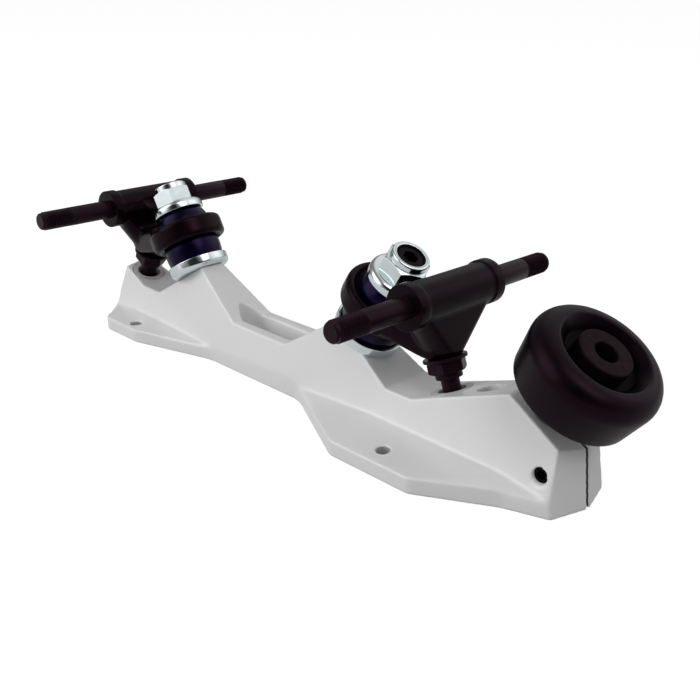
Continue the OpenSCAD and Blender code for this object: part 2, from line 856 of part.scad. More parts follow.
module toe_stop_stem() {
    color("dimgray") on_stem(-stem_depth) difference() {
        cylinder(d = stem_d, h = stem_depth + stem_top);
        translate([0, 0, stem_end_wall]) cylinder(d = stem_bore_d, h = stem_depth + stem_top);
    }
}

module toe_clamp_screw() {
    color("#2a2a2c") translate([front_x + clamp_ahead, -clamp_half_l, clamp_h]) rotate([-90, 0, 0])
        difference() {
            union() {
                cylinder(d = clamp_head_d, h = clamp_head_h);
                cylinder(d = clamp_thread_d, h = 2 * clamp_half_l - end_gap);
            }
            mirror([0, 0, 1]) hex_socket(clamp_socket_af, clamp_head_h / 2);
        }
}

module front_hanger() { color("#1d191c") at_front() hanger(); }
module front_axle() { color("#262022") at_front() axle(); }
module front_pivot_pin() { color("#1b191b") at_front() pivot_pin(); }
module front_pivot_jam_nut() { color("#201e20") at_front() pivot_jam_nut(); }
module front_pivot_washer() { color("#2a282a") at_front() pivot_washer(); }
module front_pivot_cup() { color("gainsboro") at_front() pivot_cup(); }
module front_kingpin() { color("#2a2628") at_front() kingpin(); }
module front_lower_retainer() { color("silver") at_front() lower_retainer(); }
module front_lower_cushion() { color("#1d1450") at_front() lower_cushion(); }
module front_upper_cushion() { color("#1d1450") at_front() upper_cushion(); }
module front_upper_retainer() { color("silver") at_front() upper_retainer(); }
module front_kingpin_nut() { color("silver") at_front() kingpin_nut(front_nut_turn); }
module front_nut_locking_ring() { color("#1a1a1e") at_front() nut_locking_ring(); }
module rear_hanger() { color("#1d191c") at_rear() hanger(); }
module rear_axle() { color("#262022") at_rear() axle(); }
module rear_pivot_pin() { color("#1b191b") at_rear() pivot_pin(); }
module rear_pivot_jam_nut() { color("#201e20") at_rear() pivot_jam_nut(); }
module rear_pivot_washer() { color("#2a282a") at_rear() pivot_washer(); }
module rear_pivot_cup() { color("gainsboro") at_rear() pivot_cup(); }
module rear_kingpin() { color("#2a2628") at_rear() kingpin(); }
module rear_lower_retainer() { color("silver") at_rear() lower_retainer(); }
module rear_lower_cushion() { color("#1d1450") at_rear() lower_cushion(); }
module rear_upper_cushion() { color("#1d1450") at_rear() upper_cushion(); }
module rear_upper_retainer() { color("silver") at_rear() upper_retainer(); }
module rear_kingpin_nut() { color("silver") at_rear() kingpin_nut(rear_nut_turn); }
module rear_nut_locking_ring() { color("#1a1a1e") at_rear() nut_locking_ring(); }

plate();
toe_stop_rubber();
toe_stop_hub();
toe_stop_stem();
toe_clamp_screw();
front_hanger();
front_axle();
front_pivot_pin();
front_pivot_jam_nut();
front_pivot_washer();
front_pivot_cup();
front_kingpin();
front_lower_retainer();
front_lower_cushion();
front_upper_cushion();
front_upper_retainer();
front_kingpin_nut();
front_nut_locking_ring();
rear_hanger();
rear_axle();
rear_pivot_pin();
rear_pivot_jam_nut();
rear_pivot_washer();
rear_pivot_cup();
rear_kingpin();
rear_lower_retainer();
rear_lower_cushion();
rear_upper_cushion();
rear_upper_retainer();
rear_kingpin_nut();
rear_nut_locking_ring();
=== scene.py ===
"""Looks of a quad roller skate plate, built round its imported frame. Metres, in the frame's own axes."""
import math

import bmesh
import bpy
import numpy as np
from mathutils import Matrix, Vector


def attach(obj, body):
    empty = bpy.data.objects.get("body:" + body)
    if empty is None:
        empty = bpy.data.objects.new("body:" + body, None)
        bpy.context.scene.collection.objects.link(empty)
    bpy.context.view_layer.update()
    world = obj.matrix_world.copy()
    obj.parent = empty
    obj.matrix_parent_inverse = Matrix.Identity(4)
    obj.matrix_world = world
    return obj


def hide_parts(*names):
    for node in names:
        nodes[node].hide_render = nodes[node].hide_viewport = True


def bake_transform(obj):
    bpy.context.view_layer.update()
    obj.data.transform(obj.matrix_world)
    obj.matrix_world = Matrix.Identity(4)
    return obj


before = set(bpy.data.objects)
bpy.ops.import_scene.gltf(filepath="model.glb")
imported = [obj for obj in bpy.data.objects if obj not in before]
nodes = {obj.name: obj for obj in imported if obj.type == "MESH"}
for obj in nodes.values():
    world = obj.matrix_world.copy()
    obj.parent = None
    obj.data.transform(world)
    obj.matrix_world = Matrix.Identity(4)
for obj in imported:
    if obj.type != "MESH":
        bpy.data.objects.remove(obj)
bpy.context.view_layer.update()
scene = bpy.context.scene

# Driving places and sizes, in millimetres and degrees, as the frame has them
MM = 0.001
AXLE_X = 90.0
AXLE_HEIGHT = 57.2
KINGPIN_FOOT = (-38.2, 32.3)
KINGPIN_TILT = 31.5
STEM_FOOT = (135.9, 28.08)
STEM_TILT = 32.1

# Levels along the kingpin, from its seat
LOWER_CUSHION = (2.0, 14.8)
LOWER_HELD = 3.2
UPPER_CUSHION = (20.6, 29.9)
UPPER_HELD = 2.4
CUSHION_R = 12.0
CUSHION_TOP_R = 9.8
CUSHION_BULGE = 0.5
CUSHION_BORE_R = 5.05
CUSHION_EDGE = 0.3
CUSHION_STEPS = 14

# Rolled lip on each kingpin nut, over its locking ring
LIP_R = (5.55, 5.98)
LIP_SPAN = (40.43, 40.88)
LIP_DIP = 0.12
LIP_ROUND = (0.1, 0.12)

# Axle, and the thread on its ends
AXLE_L = 110.0
AXLE_R = 4.0
AXLE_CORE_R = 4.2
AXLE_CORE_L = 44.0
AXLE_CHAMFER = 0.5
AXLE_LEAD_L = 1.6
AXLE_LEAD_R = 3.6
AXLE_THREAD_L = 14.0
AXLE_PITCH = 1.06
AXLE_THREAD_DEPTH = 0.6
AXLE_LEVELS_A_TURN = 12
AXLE_SHOULDER = 0.01

# Collars at the ends of the hangers' barrels
COLLAR_R = 8.1
COLLAR_SPAN = (17.6, 22.04)
COLLAR_EDGE = 0.35

# Toe stop, in levels along its stem from the incline
STEM_R = 6.35
STEM_BORE_R = 4.0
STEM_SPAN = (-14.0, 22.9)
STEM_FLOOR = 3.0
STEM_PITCH = 1.95
STEM_THREAD_DEPTH = 0.8
STEM_LEVELS_A_TURN = 10
STEM_SEGMENTS = 72
STOP_BACK = 10.9
STOP_FRONT = 31.1
STOP_BACK_R = 20.85
STOP_FRONT_R = 23.9
STOP_BACK_ROUND = 1.6
STOP_FRONT_ROUND = 6.7
DISH_R = 15.7
DISH_RUN = 3.6
DISH_FLOOR = 26.9
DISH_ROUND = 1.4
STOP_SEGMENTS = 128
STOP_ARC_STEPS = 10
HUB_R = 9.4
HUB_FLANGE_R = 13.0
HUB_FLANGE = (22.9, 24.9)
FIT_GAP = 0.05

# Holes through the plate, as x, distance from the centreline and radius
BOOT_HOLES = ((88.0, 28.0, 2.6), (-76.2, 20.5, 2.6))
TOE_HOLE = (111.0, 0.0, 4.5)
HOLES = (*BOOT_HOLES, TOE_HOLE)

# Mesh work that all pieces share
TRUCKS = ("front", "rear")
ROUND_SEGMENTS = 96
ROD_SEGMENTS = 48
SHARP_DEG = 38
WELD = 0.002
FLAT_DEG = 0.4
BROKEN_EDGE_DEG = 28
BROKEN_EDGE_STEPS = 2


def truck_frame(side):
    """One truck's own frame, whose X runs outward from its axle."""
    if side == "front":
        return Matrix.Translation((AXLE_X * MM, 0, 0))
    return Matrix.Translation((-AXLE_X * MM, 0, 0)) @ Matrix.Rotation(math.pi, 4, "Z")


def leaning(base, foot, tilt):
    """A frame with Z along a pin that stands on its foot and leans in side view."""
    place = Matrix.Translation((foot[0] * MM, 0, foot[1] * MM))
    return base @ place @ Matrix.Rotation(math.radians(tilt), 4, "Y")


def kingpin_frame(side):
    return leaning(truck_frame(side), KINGPIN_FOOT, KINGPIN_TILT)


def axle_frame(side, start=0.0):
    """A frame with Z along one truck's axle, from a place along it."""
    place = Matrix.Translation((0, start * MM, AXLE_HEIGHT * MM))
    return truck_frame(side) @ place @ Matrix.Rotation(-math.pi / 2, 4, "X")


STEM_FRAME = leaning(Matrix.Identity(4), STEM_FOOT, STEM_TILT)


# Mesh helpers

def rounded(points, steps=6):
    """An outline of (x, y, radius) corners with each corner turned into an arc."""
    path = []
    count = len(points)
    for i, (x, y, radius) in enumerate(points):
        corner = Vector((x, y))
        if radius <= 0:
            path.append(corner)
            continue
        to_last = (Vector(points[i - 1][:2]) - corner).normalized()
        to_next = (Vector(points[(i + 1) % count][:2]) - corner).normalized()
        half = to_last.angle(to_next) / 2
        centre = corner + (to_last + to_next).normalized() * radius / math.sin(half)
        start = corner + to_last * radius / math.tan(half) - centre
        end = corner + to_next * radius / math.tan(half) - centre
        turn = start.angle_signed(end)
        for k in range(steps + 1):
            path.append(centre + Matrix.Rotation(-turn * k / steps, 2) @ start)
    return path


def lathe(profile, segments=ROUND_SEGMENTS):
    """Turns a closed outline of (radius, level) points, in millimetres, about Z."""
    mesh = bmesh.new()
    rings = []
    for j in range(segments):
        angle = 2 * math.pi * j / segments
        rings.append([
            mesh.verts.new((r * math.cos(angle) * MM, r * math.sin(angle) * MM, level * MM))
            for r, level in profile
        ])
    count = len(profile)
    for j in range(segments):
        here, there = rings[j], rings[(j + 1) % segments]
        for i in range(count):
            k = (i + 1) % count
            mesh.faces.new((here[i], there[i], there[k], here[k]))
    bmesh.ops.recalc_face_normals(mesh, faces=mesh.faces)
    return mesh


def place_piece(name, mesh, matrix, material):
    """Makes an object of a mesh, with its place in its vertices."""
    data = bpy.data.meshes.new(name)
    bmesh.ops.transform(mesh, matrix=matrix, verts=mesh.verts)
    mesh.to_mesh(data)
    mesh.free()
    data.shade_smooth()
    data.set_sharp_from_angle(angle=math.radians(SHARP_DEG))
    data.materials.append(material)
    piece = bpy.data.objects.new(name, data)
    scene.collection.objects.link(piece)
    return piece


def thread_depth(level, turn, pitch):
    """Depth of a rounded V thread at a level and a share of one turn, from 0 at the crest to 1."""
    phase = (level / pitch - turn) % 1
    ramp = 1 - abs(2 * phase - 1)
    return ramp * ramp * (3 - 2 * ramp)


def threaded_rod(levels, radius_at, bore=None, segments=ROD_SEGMENTS):
    """A rod along Z with a radius for each level and turn. A bore is blind, from the rod's far end."""
    mesh = bmesh.new()

    def ring(level, radii):
        """Points round Z at one level."""
        points = []
        for k, radius in enumerate(radii):
            angle = 2 * math.pi * k / segments
            points.append(mesh.verts.new((
                radius * math.cos(angle) * MM, radius * math.sin(angle) * MM, level * MM
            )))
        return points

    rows = [ring(level, [radius_at(level, j / segments) for j in range(segments)]) for level in levels]
    if bore:
        bore_r, floor_level = bore
        rows += [ring(level, [bore_r] * segments) for level in (levels[-1], floor_level)]
    for below, above in zip(rows, rows[1:]):
        for j in range(segments):
            k = (j + 1) % segments
            mesh.faces.new((below[j], below[k], above[k], above[j]))
    mesh.faces.new(list(reversed(rows[0])))
    mesh.faces.new(rows[-1])
    bmesh.ops.recalc_face_normals(mesh, faces=mesh.faces)
    return mesh


def spaced(start, end, step):
    """Levels from start to end, about a step apart."""
    count = max(1, round((end - start) / step))
    return [start + (end - start) * k / count for k in range(count + 1)]


def whole_faces(node):
    """A copy of a node's mesh, welded, with the triangles of each flat face joined again."""
    mesh = bmesh.new()
    mesh.from_mesh(nodes[node].data)
    for layer in list(mesh.loops.layers.uv):
        mesh.loops.layers.uv.remove(layer)
    bmesh.ops.remove_doubles(mesh, verts=mesh.verts, dist=WELD * MM)
    bmesh.ops.dissolve_limit(
        mesh, angle_limit=math.radians(FLAT_DEG), verts=mesh.verts, edges=mesh.edges
    )
    bmesh.ops.recalc_face_normals(mesh, faces=mesh.faces)
    return mesh


# Materials

# Sockets of a colour mix
MIX_SHARE, MIX_FIRST, MIX_SECOND, MIX_RESULT = 0, 6, 7, 2
GLOSS_PATCHES = 4
# Painted shade: dark grey on the clamp slit's walls, and mid grey in the boot holes a little past their
# rims
SLIT_WALL_Y = 0.66
SLIT_FROM_X = 127.0
SLIT_SHADE = (0.09, 0.086, 0.088, 1)
HOLE_SHADE_REACH = 0.05
HOLE_SHADE = (0.42, 0.42, 0.425, 1)
# Painted shade in the stop's dish: near black, with a low specular level
DISH_SHADE = (0.0009, 0.0005, 0.0007, 1)
DISH_SPECULAR = 0.02


def shader(name):
    """A node material with its tree, its main shader and object coordinates."""
    material = bpy.data.materials.new(name)
    material.use_nodes = True
    tree = material.node_tree
    main = tree.nodes["Principled BSDF"]
    place = tree.nodes.new("ShaderNodeTexCoord")
    return material, tree, main, place.outputs["Object"]


def noise(tree, vector, scale, detail=3.0, stretch=None):
    """Noise in object space. A stretch scales each axis first, for grain that runs one way."""
    if stretch:
        mapping = tree.nodes.new("ShaderNodeMapping")
        mapping.inputs["Scale"].default_value = stretch
        tree.links.new(vector, mapping.inputs["Vector"])
        vector = mapping.outputs["Vector"]
    texture = tree.nodes.new("ShaderNodeTexNoise")
    texture.inputs["Scale"].default_value = scale
    texture.inputs["Detail"].default_value = detail
    tree.links.new(vector, texture.inputs["Vector"])
    return texture.outputs["Fac"]


def ramp(tree, value, low, high, start=0.3, end=0.7):
    """Two colours or grey levels over the middle of a noise."""
    node = tree.nodes.new("ShaderNodeValToRGB")
    for element, where, colour in zip(node.color_ramp.elements, (start, end), (low, high)):
        element.position = where
        element.color = (*colour, 1) if isinstance(colour, tuple) else (colour, colour, colour, 1)
    tree.links.new(value, node.inputs["Fac"])
    return node.outputs["Color"]


def bump(tree, height, distance, strength, main):
    node = tree.nodes.new("ShaderNodeBump")
    node.inputs["Distance"].default_value = distance
    node.inputs["Strength"].default_value = strength
    tree.links.new(height, node.inputs["Height"])
    tree.links.new(node.outputs["Normal"], main.inputs["Normal"])


def surface(
    name, colours, rough, patch=60, grain=900, grain_mm=0.02, grain_strength=0.3, stretch=None, **fixed
):
    """A finish whose colour drifts over patches, with uneven gloss and a fine grain."""
    material, tree, main, place = shader(name)
    drift = noise(tree, place, patch, stretch=stretch)
    tree.links.new(ramp(tree, drift, *colours), main.inputs["Base Color"])
    gloss = noise(tree, place, patch * GLOSS_PATCHES, stretch=stretch)
    tree.links.new(ramp(tree, gloss, *rough), main.inputs["Roughness"])
    bump(tree, noise(tree, place, grain, stretch=stretch), grain_mm * MM, grain_strength, main)
    for socket, value in fixed.items():
        main.inputs[socket.replace("_", " ")].default_value = value
    return material


def lay_over(material, share, colour):
    """Mixes a colour over a finish, by a share that nodes give."""
    tree = material.node_tree
    base = tree.nodes["Principled BSDF"].inputs["Base Color"]
    mix = tree.nodes.new("ShaderNodeMix")
    mix.data_type = "RGBA"
    tree.links.new(share, mix.inputs[MIX_SHARE])
    tree.links.new(base.links[0].from_socket, mix.inputs[MIX_FIRST])
    mix.inputs[MIX_SECOND].default_value = colour
    tree.links.new(mix.outputs[MIX_RESULT], base)


def paint_shade_in_cuts(material):
    """Paints shade into the clamp slit and the boot holes: dark grey on the slit's walls, mid grey in the
    holes.
    """
    tree = material.node_tree
    place = tree.nodes.new("ShaderNodeTexCoord").outputs["Object"]
    axes = tree.nodes.new("ShaderNodeSeparateXYZ")
    tree.links.new(place, axes.inputs[0])

    def step(operation, first, second):
        node = tree.nodes.new("ShaderNodeMath")
        node.operation = operation
        tree.links.new(first, node.inputs[0])
        if isinstance(second, float):
            node.inputs[1].default_value = second
        else:
            tree.links.new(second, node.inputs[1])
        return node.outputs[0]

    from_middle = step("ABSOLUTE", axes.outputs["Y"], 0.0)
    at_nose = step("GREATER_THAN", axes.outputs["X"], SLIT_FROM_X * MM)
    in_slit = step("MULTIPLY", step("LESS_THAN", from_middle, SLIT_WALL_Y * MM), at_nose)
    lay_over(material, in_slit, SLIT_SHADE)
    flat = tree.nodes.new("ShaderNodeCombineXYZ")
    tree.links.new(axes.outputs["X"], flat.inputs["X"])
    tree.links.new(from_middle, flat.inputs["Y"])
    for x, y, radius in BOOT_HOLES:
        away = tree.nodes.new("ShaderNodeVectorMath")
        away.operation = "DISTANCE"
        tree.links.new(flat.outputs[0], away.inputs[0])
        away.inputs[1].default_value = (x * MM, y * MM, 0)
        in_hole = step("LESS_THAN", away.outputs["Value"], (radius + HOLE_SHADE_REACH) * MM)
        lay_over(material, in_hole, HOLE_SHADE)


def paint_shade_in_dish(material):
    """Paints shade into the dish of the stop, round its stem: near black, with a lower specular level."""
    tree = material.node_tree
    main = tree.nodes["Principled BSDF"]
    place = tree.nodes.new("ShaderNodeTexCoord").outputs["Object"]
    mapping = tree.nodes.new("ShaderNodeMapping")
    mapping.vector_type = "TEXTURE"
    mapping.inputs["Location"].default_value = STEM_FRAME.translation
    mapping.inputs["Rotation"].default_value = STEM_FRAME.to_euler()
    tree.links.new(place, mapping.inputs["Vector"])
    flat = tree.nodes.new("ShaderNodeVectorMath")
    flat.operation = "MULTIPLY"
    tree.links.new(mapping.outputs["Vector"], flat.inputs[0])
    flat.inputs[1].default_value = (1, 1, 0)
    length = tree.nodes.new("ShaderNodeVectorMath")
    length.operation = "LENGTH"
    tree.links.new(flat.outputs["Vector"], length.inputs[0])
    inside = tree.nodes.new("ShaderNodeMapRange")
    inside.interpolation_type = "SMOOTHSTEP"
    inside.inputs["From Min"].default_value = (DISH_R - DISH_RUN) * MM
    inside.inputs["From Max"].default_value = DISH_R * MM
    inside.inputs["To Min"].default_value = 1
    inside.inputs["To Max"].default_value = 0
    tree.links.new(length.outputs["Value"], inside.inputs["Value"])
    lay_over(material, inside.outputs["Result"], DISH_SHADE)
    sheen = tree.nodes.new("ShaderNodeMapRange")
    sheen.inputs["To Min"].default_value = main.inputs["Specular IOR Level"].default_value
    sheen.inputs["To Max"].default_value = DISH_SPECULAR
    tree.links.new(inside.outputs["Result"], sheen.inputs["Value"])
    tree.links.new(sheen.outputs["Result"], main.inputs["Specular IOR Level"])


white_paint = surface(
    "white_paint", ((0.77, 0.765, 0.77), (0.792, 0.786, 0.792)), (0.28, 0.34), patch=22, grain=900,
    grain_mm=0.02, grain_strength=0.03, Coat_Weight=0.25, Coat_Roughness=0.15,
)
# Painted shade in the clamp slit and the boot holes
paint_shade_in_cuts(white_paint)
black_paint = surface(
    "black_paint", ((0.0026, 0.0011, 0.0018), (0.0044, 0.002, 0.003)), (0.2, 0.27), patch=80, grain=1400,
    grain_mm=0.03, grain_strength=0.15, Specular_IOR_Level=0.09, Specular_Tint=(1, 0.5, 0.76, 1),
)
black_steel = surface(
    "black_steel", ((0.0075, 0.0034, 0.0051), (0.0125, 0.006, 0.0085)), (0.28, 0.34), patch=120, grain=1600,
    grain_mm=0.02, grain_strength=0.2, stretch=(3, 0.4, 3), Specular_IOR_Level=0.12,
    Specular_Tint=(1, 0.5, 0.76, 1),
)
zinc = surface(
    "zinc", ((0.67, 0.75, 0.765), (0.79, 0.845, 0.855)), (0.1, 0.18), patch=140, grain=1800,
    grain_mm=0.012, grain_strength=0.15, Metallic=1.0,
)
urethane = surface(
    "urethane", ((0.0009, 0.0005, 0.005), (0.002, 0.001, 0.0105)), (0.2, 0.27), patch=90, grain=700,
    grain_mm=0.02, grain_strength=0.1, Subsurface_Weight=0.15, Subsurface_Radius=(0.4, 0.25, 1.0),
    Subsurface_Scale=0.003, Specular_IOR_Level=0.24, Specular_Tint=(0.42, 0.28, 1, 1),
)
black_rubber = surface(
    "black_rubber", ((0.0018, 0.0009, 0.0014), (0.003, 0.0016, 0.0024)), (0.28, 0.37), patch=70, grain=1100,
    grain_mm=0.04, grain_strength=0.25, Specular_IOR_Level=0.12, Specular_Tint=(1, 0.52, 0.8, 1),
)
# Painted shade in the stop's dish
paint_shade_in_dish(black_rubber)
hub_plastic = surface(
    "hub_plastic", ((0.0056, 0.0024, 0.0034), (0.0085, 0.004, 0.0052)), (0.45, 0.6), patch=110, grain=1500,
    grain_mm=0.03, grain_strength=0.3, Specular_IOR_Level=0.06, Specular_Tint=(1, 0.6, 0.76, 1),
)
cup_plastic = surface(
    "cup_plastic", ((0.50, 0.50, 0.50), (0.58, 0.58, 0.575)), (0.4, 0.55), patch=120, grain=1200,
    grain_mm=0.02, grain_strength=0.2,
)
# Near black with a low specular level: the locking rings' own black, and painted shade on the kingpins'
# recessed ends and on the clamp screw deep in its hole
lock_nylon = surface(
    "lock_nylon", ((0.002, 0.0012, 0.0018), (0.0042, 0.0026, 0.0036)), (0.3, 0.42), patch=150, grain=1500,
    grain_mm=0.02, grain_strength=0.2, Specular_IOR_Level=0.06, Specular_Tint=(1, 0.6, 0.8, 1),
)


# Castings: the solids on an even grid, with soft edges and filleted corners

PLATE_GRID = 0.42
PLATE_PASSES = 5
PLATE_FILLET_PASSES = 24
FILLET_Y = (10.5, 20.0)
FILLET_Z = (4.0, 11.0)
SLIT_X = (128.0, 160.0)
SLIT_Y = 1.3
HOLE_RIM = 0.6
CLAMP = (141.7, 12.8, 2.8)
FINE_FADE = 0.5
SLIT_END_FADE = 1.0
FILLET_FADE = 2.0
RELAX_SHARE = 0.5
HANGER_GRID = 0.4
HANGER_FILLET = 1.6
HANGER_PASSES = 3


def on_grid(name, node, grid, swells, material):
    """A node's solid on an even grid. A swell grows the surface: one and its reverse fill inner corners."""
    piece = place_piece(name, whole_faces(node), Matrix.Identity(4), material)
    for step, growth in enumerate((0.0, *swells)):
        if growth:
            swell = piece.modifiers.new(f"swell_{step}", "DISPLACE")
            swell.mid_level = 0
            swell.strength = growth * MM
        even = piece.modifiers.new(f"grid_{step}", "REMESH")
        even.mode = "VOXEL"
        even.voxel_size = grid * MM
    bpy.context.view_layer.update()
    graph = bpy.context.evaluated_depsgraph_get()
    data = bpy.data.meshes.new_from_object(piece.evaluated_get(graph))
    piece.modifiers.clear()
    piece.data = data
    data.shade_smooth()
    return piece


def points_of(data):
    points = np.empty(len(data.vertices) * 3)
    data.vertices.foreach_get("co", points)
    return points.reshape(-1, 3)


def relax(data, passes, share, axes=(0, 1, 2)):
    """Rounds a mesh by drawing each point towards its neighbours by its own share, along some axes."""
    points = points_of(data)
    count = len(points)
    ends = np.empty(len(data.edges) * 2, dtype=np.int64)
    data.edges.foreach_get("vertices", ends)
    ends = ends.reshape(-1, 2)
    degree = np.bincount(ends.ravel(), minlength=count)
    for _ in range(passes):
        for axis in axes:
            values = points[:, axis]
            total = np.bincount(ends[:, 0], values[ends[:, 1]], count)
            total += np.bincount(ends[:, 1], values[ends[:, 0]], count)
            points[:, axis] = values + share * (total / degree - values)
    data.vertices.foreach_set("co", points.ravel())
    data.update()


def within(values, low, high, fade):
    """1 inside a span, fading to 0 outside it."""
    return np.clip(np.minimum(values - low, high - values) / fade + 1, 0, 1)


def at_slit(points):
    """1 at the walls of the clamp slit."""
    return within(abs(points[:, 1]), 0, SLIT_Y, FINE_FADE) * within(points[:, 0], *SLIT_X, SLIT_END_FADE)


def at_holes(points):
    """1 at the hole rims and the clamp screw's bore."""
    from_clamp = np.hypot(points[:, 0] - CLAMP[0], points[:, 2] - CLAMP[1])
    share = within(from_clamp, 0, CLAMP[2] + HOLE_RIM, FINE_FADE)
    for x, y, radius in HOLES:
        from_hole = np.hypot(points[:, 0] - x, abs(points[:, 1]) - y)
        share = np.maximum(share, within(from_hole, 0, radius + HOLE_RIM, FINE_FADE))
    return share


def cast_plate():
    piece = on_grid("plate_casting", "plate", PLATE_GRID, (), white_paint)
    points = points_of(piece.data) / MM
    slit, holes = at_slit(points), at_holes(points)
    relax(piece.data, PLATE_PASSES, RELAX_SHARE * (1 - np.maximum(slit, holes)))
    relax(piece.data, PLATE_PASSES, RELAX_SHARE * slit, axes=(0, 2))
    relax(piece.data, 1, RELAX_SHARE * holes)
    across = within(abs(points[:, 1]), *FILLET_Y, FILLET_FADE)
    fillet = across * within(points[:, 2], *FILLET_Z, FILLET_FADE)
    relax(piece.data, PLATE_FILLET_PASSES, RELAX_SHARE * fillet)
    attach(piece, "plate")
    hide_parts("plate")


def cast_hanger(side):
    swells = (HANGER_FILLET, -HANGER_FILLET)
    piece = on_grid(
        f"{side}_hanger_casting", f"{side}_hanger", HANGER_GRID, swells, black_paint
    )
    relax(piece.data, HANGER_PASSES, RELAX_SHARE)
    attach(piece, f"{side}_truck")
    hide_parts(f"{side}_hanger")


def barrel_collars(side):
    """Crisp turned ends on a hanger's barrel, both in one mesh."""
    bore_r = AXLE_CORE_R + FIT_GAP
    near, far = COLLAR_SPAN
    mesh = bmesh.new()
    for end in (-1, 1):
        ring = lathe(rounded([
            (bore_r, end * near, 0),
            (COLLAR_R, end * near, COLLAR_EDGE),
            (COLLAR_R, end * far, COLLAR_EDGE),
            (bore_r, end * far, 0),
        ]))
        half = bpy.data.meshes.new("half")
        ring.to_mesh(half)
        ring.free()
        mesh.from_mesh(half)
        bpy.data.meshes.remove(half)
    piece = place_piece(f"{side}_hanger_collars", mesh, axle_frame(side), black_paint)
    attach(piece, f"{side}_truck")


cast_plate()


# Axles with threaded ends

def axle_radius(level, turn):
    from_end = min(level, AXLE_L - level)
    if abs(level - AXLE_L / 2) <= AXLE_CORE_L / 2:
        return AXLE_CORE_R
    if from_end < AXLE_LEAD_L:
        return min(AXLE_LEAD_R, AXLE_LEAD_R - AXLE_CHAMFER + from_end)
    radius = AXLE_R
    if from_end < AXLE_THREAD_L:
        run_in = min(1.0, (AXLE_THREAD_L - from_end) / AXLE_PITCH)
        radius -= AXLE_THREAD_DEPTH * thread_depth(level, turn, AXLE_PITCH) * run_in
    return radius


def threaded_axle(side):
    fine = AXLE_PITCH / AXLE_LEVELS_A_TURN
    core = (AXLE_L - AXLE_CORE_L) / 2
    levels = spaced(0, AXLE_THREAD_L, fine)
    levels += [core - AXLE_SHOULDER, core, AXLE_L - core, AXLE_L - core + AXLE_SHOULDER]
    levels += spaced(AXLE_L - AXLE_THREAD_L, AXLE_L, fine)
    piece = place_piece(
        f"{side}_axle_threaded", threaded_rod(levels, axle_radius), axle_frame(side, -AXLE_L / 2),
        black_steel,
    )
    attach(piece, f"{side}_truck")
    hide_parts(f"{side}_axle")


# Cushions: swollen urethane rings

def cushion(side, name, span, held_low, held_high, low_r, high_r):
    """A ring whose free length swells. Its lengths in the retainers stay straight."""
    bottom, top = span
    free_from, free_to = bottom + held_low, top - held_high
    swelling = []
    for i in range(CUSHION_STEPS + 1):
        k = i / CUSHION_STEPS
        bulge = CUSHION_BULGE * math.sin(math.pi * k)
        swelling.append((low_r + k * (high_r - low_r) + bulge, free_from + k * (free_to - free_from), 0))
    outline = [(CUSHION_BORE_R, bottom, 0)]
    outline += [(low_r, bottom, CUSHION_EDGE)] if held_low else []
    outline += swelling
    outline += [(high_r, top, CUSHION_EDGE)] if held_high else []
    outline += [(CUSHION_BORE_R, top, 0)]
    matrix = kingpin_frame(side)
    piece = place_piece(f"{side}_{name}_ring", lathe(rounded(outline)), matrix, urethane)
    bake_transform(piece)
    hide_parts(f"{side}_{name}")


def nut_lip(side):
    """The edge of a lock nut, rolled in over its locking ring."""
    inner, outer = LIP_R
    low, high = LIP_SPAN
    outline = [
        (inner, low, LIP_ROUND[0]),
        (outer, low, 0),
        (outer, high, 0),
        (inner, high - LIP_DIP, LIP_ROUND[1]),
    ]
    piece = place_piece(f"{side}_kingpin_nut_lip", lathe(rounded(outline)), kingpin_frame(side), zinc)
    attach(piece, "plate")


for truck in TRUCKS:
    cast_hanger(truck)
    barrel_collars(truck)
    threaded_axle(truck)
    cushion(truck, "lower_cushion", LOWER_CUSHION, LOWER_HELD, 0, CUSHION_R, CUSHION_R)
    cushion(truck, "upper_cushion", UPPER_CUSHION, 0, UPPER_HELD, CUSHION_R, CUSHION_TOP_R)
    nut_lip(truck)


# Toe stop

def stop_rubber():
    core_r = STEM_R + FIT_GAP
    hub_r = HUB_R + FIT_GAP
    flange_r = HUB_FLANGE_R + FIT_GAP
    outline = [
        (core_r, STOP_BACK, 0),
        (STOP_BACK_R, STOP_BACK, STOP_BACK_ROUND),
        (STOP_FRONT_R, STOP_FRONT, STOP_FRONT_ROUND),
        (DISH_R, STOP_FRONT, DISH_ROUND),
        (DISH_R - DISH_RUN, DISH_FLOOR, DISH_ROUND),
        (hub_r, DISH_FLOOR, 0),
        (hub_r, HUB_FLANGE[1], 0),
        (flange_r, HUB_FLANGE[1], 0),
        (flange_r, HUB_FLANGE[0], 0),
        (core_r, HUB_FLANGE[0], 0),
    ]
    piece = place_piece(
        "toe_stop_moulding", lathe(rounded(outline, STOP_ARC_STEPS), STOP_SEGMENTS), STEM_FRAME,
        black_rubber,
    )
    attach(piece, "toe_stop")
    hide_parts("toe_stop_rubber")


def stem_radius(level, turn):
    from_end = min(level - STEM_SPAN[0], STEM_SPAN[1] - level)
    thread = STEM_THREAD_DEPTH * thread_depth(level, turn, STEM_PITCH)
    return min(STEM_R - thread, STEM_R - STEM_THREAD_DEPTH + from_end)


def threaded_stem():
    levels = spaced(*STEM_SPAN, STEM_PITCH / STEM_LEVELS_A_TURN)
    bore = (STEM_BORE_R, STEM_SPAN[0] + STEM_FLOOR)
    piece = place_piece(
        "toe_stop_threaded_stem", threaded_rod(levels, stem_radius, bore, STEM_SEGMENTS), STEM_FRAME,
        black_steel,
    )
    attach(piece, "toe_stop")
    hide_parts("toe_stop_stem")


stop_rubber()
threaded_stem()


# Turned, pressed and drilled pieces that keep their own solids

